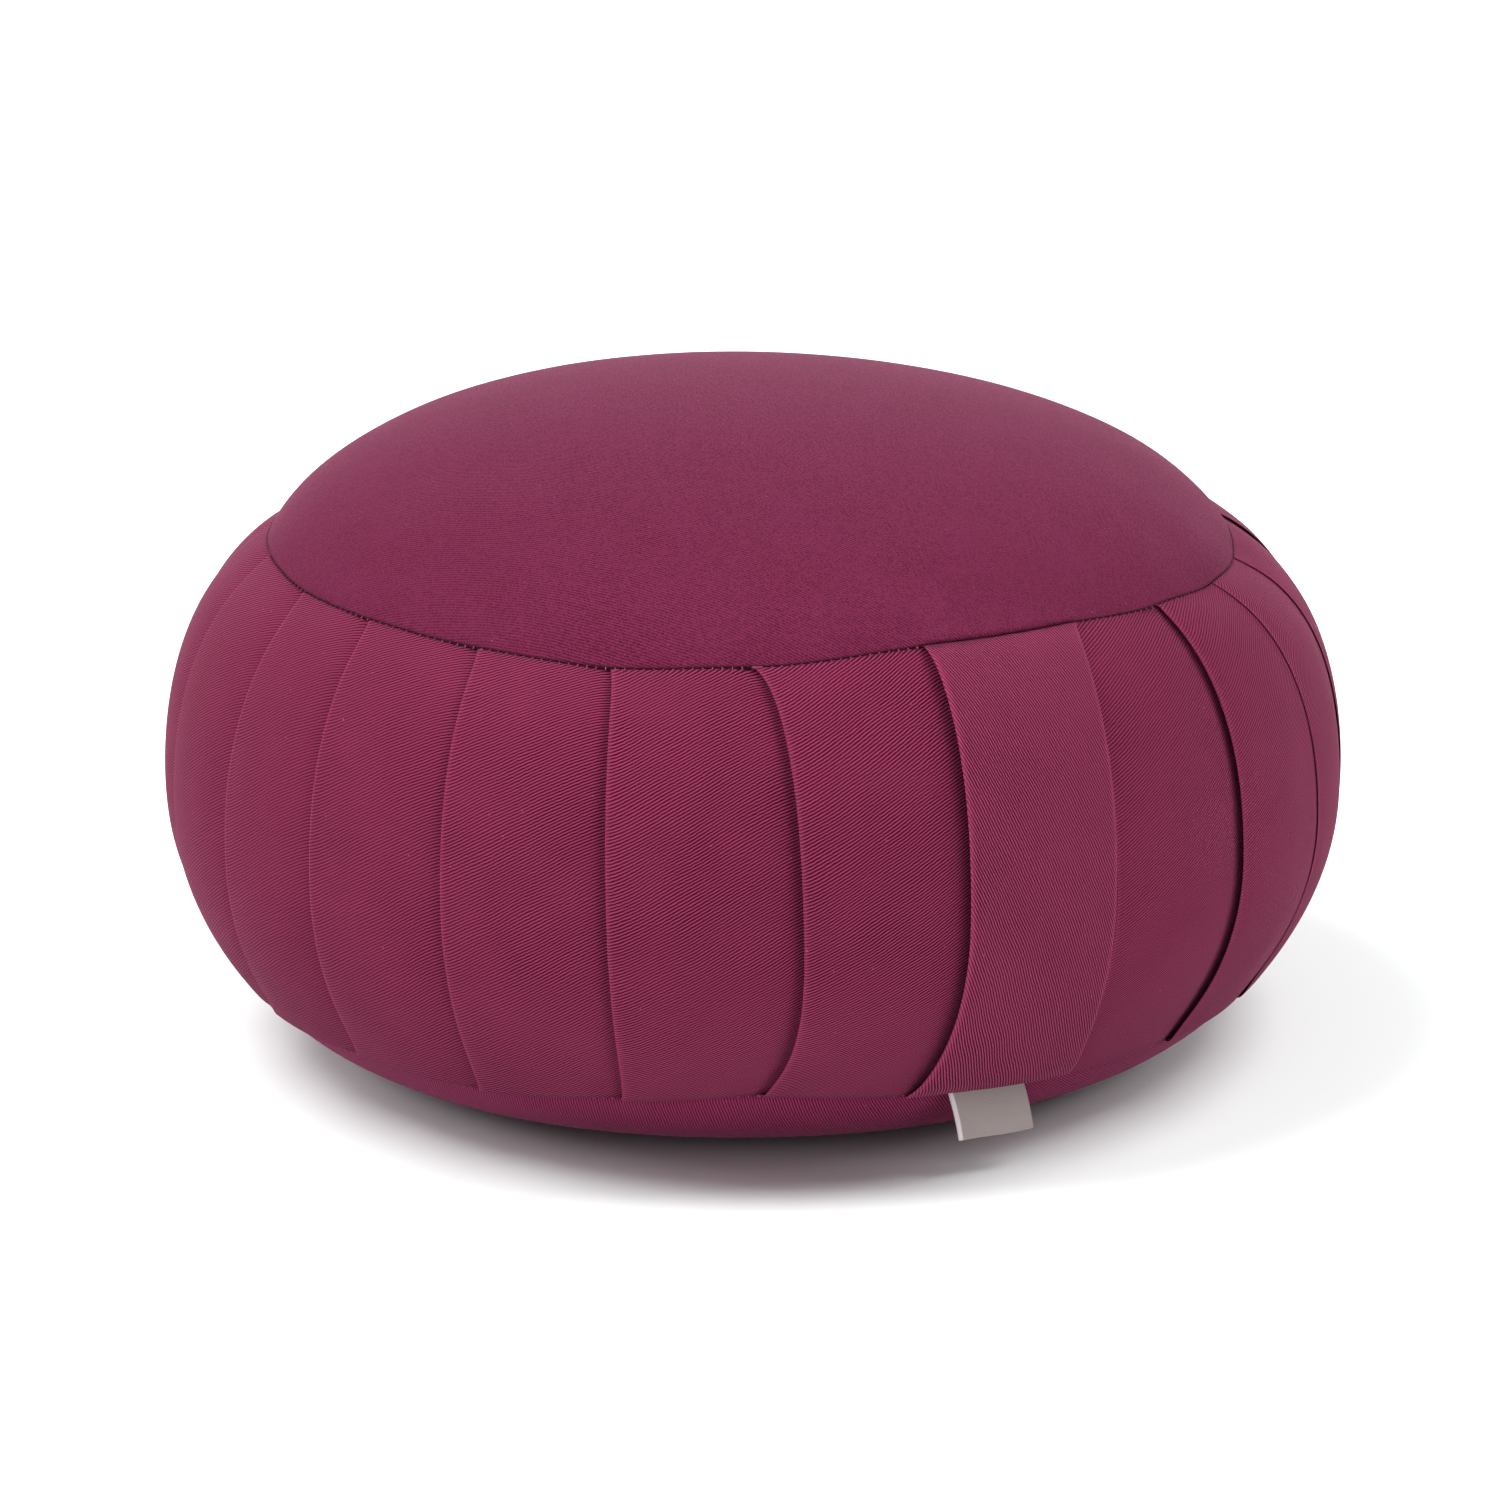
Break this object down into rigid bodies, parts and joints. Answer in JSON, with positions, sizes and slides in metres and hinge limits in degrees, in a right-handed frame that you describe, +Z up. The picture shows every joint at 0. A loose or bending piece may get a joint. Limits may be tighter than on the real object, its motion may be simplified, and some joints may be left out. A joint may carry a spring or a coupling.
{
  "type": "zafu meditation cushion",
  "caption": "Round zafu meditation cushion, tightly filled, with domed round panels, a knife-pleated side band, a flat carrying strap and a bare flag label.",
  "frame": {"origin": "bottom centre of the cushion, on its upright axis, in the middle of the flat it rests on", "axes": "+Z up through the crown; -Y is the front, as pictured; the carrying strap lies to the +X side of the front"},
  "size_m": [0.3556, 0.3543, 0.196],
  "materials": {
    "band_cloth": "matt plum cotton twill, in knife pleats",
    "top_cloth": "matt plum cotton twill",
    "bottom_cloth": "matt plum cotton twill",
    "strap_cloth": "matt plum cotton twill, folded into a flat band",
    "label_tape": "grey satin-woven tape, bare"
  },
  "bodies": {
    "root": {"pleated_cushion": "band_cloth", "top_panel": "top_cloth", "bottom_panel": "bottom_cloth", "carry_strap": "strap_cloth", "seam_label": "label_tape"}
  },
  "joints": []
}
